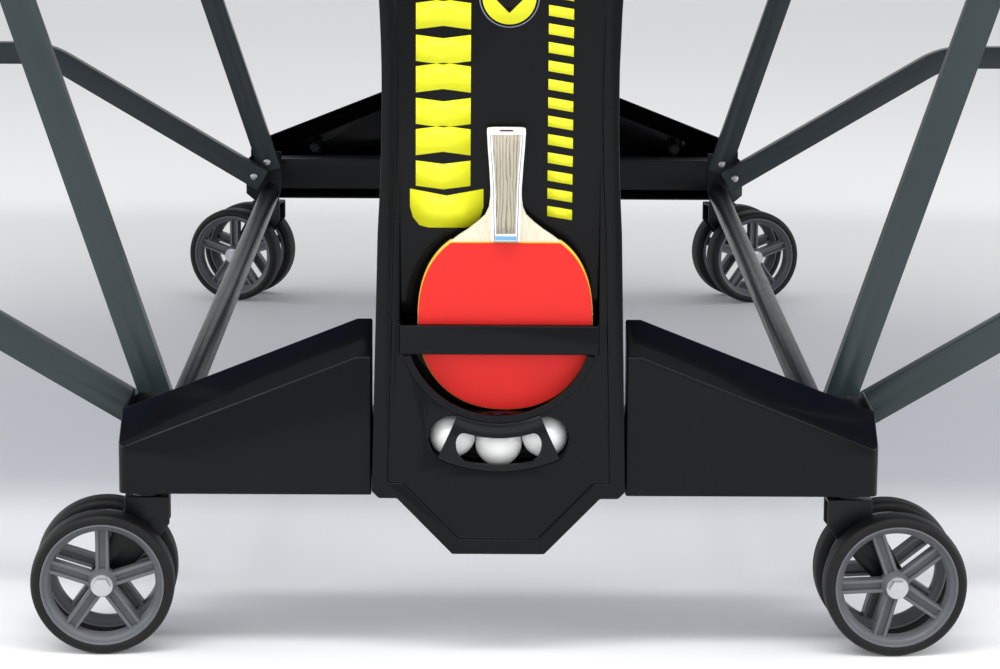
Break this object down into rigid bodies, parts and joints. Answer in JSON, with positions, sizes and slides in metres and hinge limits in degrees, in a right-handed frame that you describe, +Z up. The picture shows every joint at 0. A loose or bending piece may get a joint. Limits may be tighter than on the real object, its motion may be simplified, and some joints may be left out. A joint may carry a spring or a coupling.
{
  "type": "folding table tennis table",
  "caption": "Folding roll-away table tennis table on wheeled side frames, with net, folding leg linkage and a bat and ball holder in each tower.",
  "frame": {"origin": "on the floor under the middle of the net", "axes": "+Z up, X along the table, Y across it with the bat-carrying side frame at -Y"},
  "size_m": [2.74, 1.8743, 0.9185],
  "materials": {
    "black_paint": "semi-gloss black powder coat",
    "gloss_black_paint": "gloss black",
    "black_plastic": "satin near-black",
    "zinc_steel": "zinc plated",
    "grey_plastic": "gunmetal grey",
    "tyre_rubber": "matt black",
    "foot_rubber": "matt black",
    "blue_top": "matt blue playing surface",
    "slate_paint": "satin slate grey",
    "pale_wood": "clear lacquer",
    "red_rubber": "matt red",
    "black_rubber": "matt black",
    "white_ball": "matt white",
    "net_cord": "woven mesh",
    "white_tape": "woven tape"
  },
  "bodies": {
    "base": {"side_beam_near": "black_paint", "side_beam_far": "black_paint", "tower_post_near": "black_paint", "tower_post_far": "black_paint", "corner_plates": "black_paint", "caster_sockets": "black_paint", "cross_tube_left": "gloss_black_paint", "cross_tube_right": "gloss_black_paint", "wing_cover_nl": "black_plastic", "wing_cover_nr": "black_plastic", "wing_cover_fl": "black_plastic", "wing_cover_fr": "black_plastic", "tower_cover_near": "black_plastic", "tower_cover_far": "black_plastic", "ball_cover_near": "black_plastic", "ball_cover_far": "black_plastic", "cover_screws": "zinc_steel", "net_posts": "black_paint", "net_collars": "black_paint", "net": "net_cord", "net_tape": "white_tape", "pivot_bolts": "zinc_steel", "balls": "white_ball"},
    "swivel_nl": {"fork_nl": "black_paint", "axle_nl": "zinc_steel"},
    "wheels_nl": {"rims_nl": "grey_plastic", "tyres_nl": "tyre_rubber"},
    "swivel_nr": {"fork_nr": "black_paint", "axle_nr": "zinc_steel"},
    "wheels_nr": {"rims_nr": "grey_plastic", "tyres_nr": "tyre_rubber"},
    "swivel_fl": {"fork_fl": "black_paint", "axle_fl": "zinc_steel"},
    "wheels_fl": {"rims_fl": "grey_plastic", "tyres_fl": "tyre_rubber"},
    "swivel_fr": {"fork_fr": "black_paint", "axle_fr": "zinc_steel"},
    "wheels_fr": {"rims_fr": "grey_plastic", "tyres_fr": "tyre_rubber"},
    "link_left": {"links_left": "black_paint"},
    "strut_left": {"struts_left": "slate_paint"},
    "bar_left": {"bars_left": "slate_paint"},
    "leg_left": {"legs_left": "slate_paint", "feet_left": "foot_rubber"},
    "half_left": {"top_left": "blue_top", "rails_left": "black_paint"},
    "link_right": {"links_right": "black_paint"},
    "strut_right": {"struts_right": "slate_paint"},
    "bar_right": {"bars_right": "slate_paint"},
    "leg_right": {"legs_right": "slate_paint", "feet_right": "foot_rubber"},
    "half_right": {"top_right": "blue_top", "rails_right": "black_paint"},
    "bat": {"bat_blade": "pale_wood", "bat_handle": "pale_wood", "bat_rubber_front": "red_rubber", "bat_rubber_back": "black_rubber"}
  },
  "joints": [
    {"name": "swivel_nl_turn", "type": "hinge", "parent": "base", "child": "swivel_nl", "pos_m": [-0.3065, -0.858, 0.16], "axis": [0, 0, 1], "continuous": true},
    {"name": "wheels_nl_spin", "type": "hinge", "parent": "swivel_nl", "child": "wheels_nl", "pos_m": [-0.34448, -0.85933, 0.0625], "axis": [0.0349, -0.9994, 0], "continuous": true},
    {"name": "swivel_nr_turn", "type": "hinge", "parent": "base", "child": "swivel_nr", "pos_m": [0.3065, -0.858, 0.16], "axis": [0, 0, 1], "continuous": true},
    {"name": "wheels_nr_spin", "type": "hinge", "parent": "swivel_nr", "child": "wheels_nr", "pos_m": [0.34445, -0.85601, 0.0625], "axis": [0.0523, -0.9986, 0], "continuous": true},
    {"name": "swivel_fl_turn", "type": "hinge", "parent": "base", "child": "swivel_fl", "pos_m": [-0.3065, 0.858, 0.16], "axis": [0, 0, 1], "continuous": true},
    {"name": "wheels_fl_spin", "type": "hinge", "parent": "swivel_fl", "child": "wheels_fl", "pos_m": [-0.34303, 0.86847, 0.0625], "axis": [0.2756, 0.9613, 0], "continuous": true},
    {"name": "swivel_fr_turn", "type": "hinge", "parent": "base", "child": "swivel_fr", "pos_m": [0.3065, 0.858, 0.16], "axis": [0, 0, 1], "continuous": true},
    {"name": "wheels_fr_spin", "type": "hinge", "parent": "swivel_fr", "child": "wheels_fr", "pos_m": [0.34284, 0.86911, 0.0625], "axis": [-0.2924, 0.9563, 0], "continuous": true},
    {"name": "fold_left", "type": "hinge", "parent": "base", "child": "link_left", "pos_m": [-0.073, 0, 0.6779], "axis": [0, -1, 0], "range_deg": [0, 78.5]},
    {"name": "half_tilt_left", "type": "hinge", "parent": "link_left", "child": "half_left", "pos_m": [-0.257, 0, 0.719], "axis": [0, 1, 0], "range_deg": [0, 168.54]},
    {"name": "strut_swing_left", "type": "hinge", "parent": "base", "child": "strut_left", "pos_m": [-0.303, 0, 0.199], "axis": [0, 1, 0], "range_deg": [0, 34.58]},
    {"name": "bar_swing_left", "type": "hinge", "parent": "base", "child": "bar_left", "pos_m": [-0.319, 0, 0.183], "axis": [0, 1, 0], "range_deg": [0, 85.73]},
    {"name": "leg_swing_left", "type": "hinge", "parent": "half_left", "child": "leg_left", "pos_m": [-1.118, 0, 0.69], "axis": [0, -1, 0], "range_deg": [0, 87.65]},
    {"name": "fold_right", "type": "hinge", "parent": "base", "child": "link_right", "pos_m": [0.073, 0, 0.6779], "axis": [0, 1, 0], "range_deg": [0, 78.5]},
    {"name": "half_tilt_right", "type": "hinge", "parent": "link_right", "child": "half_right", "pos_m": [0.257, 0, 0.719], "axis": [0, -1, 0], "range_deg": [0, 168.54]},
    {"name": "strut_swing_right", "type": "hinge", "parent": "base", "child": "strut_right", "pos_m": [0.303, 0, 0.199], "axis": [0, -1, 0], "range_deg": [0, 34.58]},
    {"name": "bar_swing_right", "type": "hinge", "parent": "base", "child": "bar_right", "pos_m": [0.319, 0, 0.183], "axis": [0, -1, 0], "range_deg": [0, 85.73]},
    {"name": "leg_swing_right", "type": "hinge", "parent": "half_right", "child": "leg_right", "pos_m": [1.118, 0, 0.69], "axis": [0, 1, 0], "range_deg": [0, 87.65]},
    {"name": "bat_lift", "type": "slide", "parent": "base", "child": "bat", "axis": [0, -0.1547, 0.988], "range_m": [0, 0.2]}
  ],
  "couplings": [
    {"joint": "half_tilt_left", "follows": "fold_left", "ratio": 2.1466},
    {"joint": "strut_swing_left", "follows": "fold_left", "ratio": 0.43996},
    {"joint": "bar_swing_left", "follows": "fold_left", "ratio": 1.0915},
    {"joint": "leg_swing_left", "follows": "fold_left", "ratio": 1.116},
    {"joint": "half_tilt_right", "follows": "fold_right", "ratio": 2.1466},
    {"joint": "strut_swing_right", "follows": "fold_right", "ratio": 0.43996},
    {"joint": "bar_swing_right", "follows": "fold_right", "ratio": 1.0915},
    {"joint": "leg_swing_right", "follows": "fold_right", "ratio": 1.116}
  ]
}
